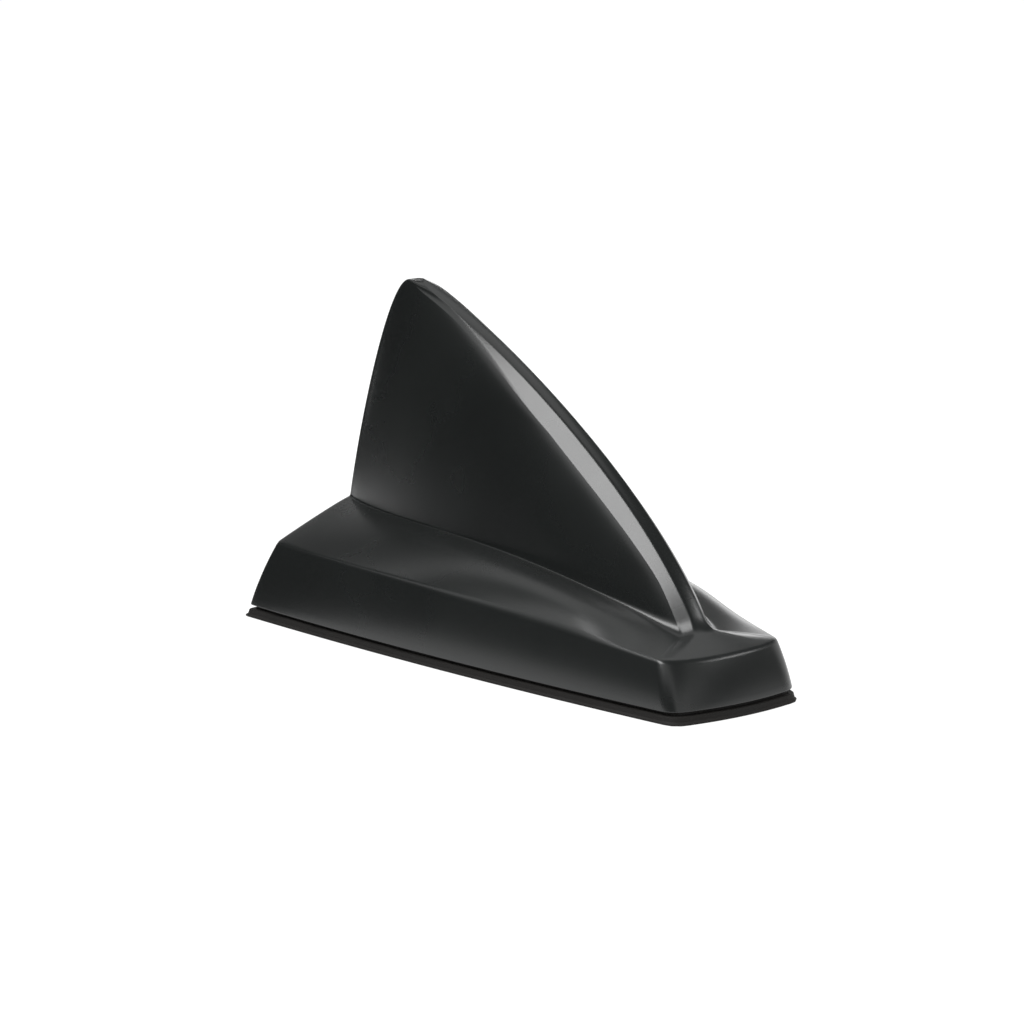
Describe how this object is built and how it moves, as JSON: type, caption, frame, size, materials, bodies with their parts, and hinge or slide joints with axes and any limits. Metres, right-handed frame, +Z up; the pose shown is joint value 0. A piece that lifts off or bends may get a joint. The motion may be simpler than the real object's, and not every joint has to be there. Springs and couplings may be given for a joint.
{
  "type": "shark fin roof aerial",
  "caption": "Shark fin roof aerial for a car: tapered hollow fin cover on a rubber seal, with a die-cast base, hollow threaded stud, nut and aerial parts inside.",
  "frame": {"origin": "on the axis of the hollow stud, in the plane of the roof skin that the seal stands on", "axes": "+X to the front of the car, towards the low end of the fin; +Y to the left side of the car; +Z up, away from the roof"},
  "size_m": [0.1427, 0.0652, 0.094],
  "materials": {
    "cover_plastic": "fine satin grain, anthracite",
    "seal_rubber": "matte brownish black",
    "ring_rubber": "matte black",
    "cast_alloy": "as cast, dull",
    "foam_rubber": "closed-cell foam",
    "spring_steel": "zinc plated",
    "plated_steel": "bright zinc plated",
    "screw_steel": "zinc plated",
    "circuit_board": "green solder mask",
    "tin_plate": "dull tin plate",
    "chip_plastic": "black moulding",
    "socket_plastic": "moulded, violet",
    "foam_tape": "sticky pad",
    "ceramic": "fired ceramic with a silvered top",
    "brass": "plated contact",
    "carrier_plastic": "natural moulding",
    "copper_wire": "enamelled copper"
  },
  "bodies": {
    "root": {"cover": "cover_plastic", "base_seal": "seal_rubber", "cover_seal": "ring_rubber", "base_plate": "cast_alloy", "hollow_stud": "plated_steel", "stud_seal": "foam_rubber", "claw_washer": "spring_steel", "stud_nut": "plated_steel", "cover_screws": "screw_steel", "main_board": "circuit_board", "board_screws": "screw_steel", "shield_can": "tin_plate", "board_chips": "chip_plastic", "coax_block": "socket_plastic", "patch_tape": "foam_tape", "patch_antenna": "ceramic", "patch_pin": "brass", "phone_board": "circuit_board", "antenna_carrier": "carrier_plastic", "radio_coil": "copper_wire", "coil_pin": "brass", "link_strip": "brass", "top_load": "tin_plate", "foam_pad": "foam_rubber"}
  },
  "joints": []
}
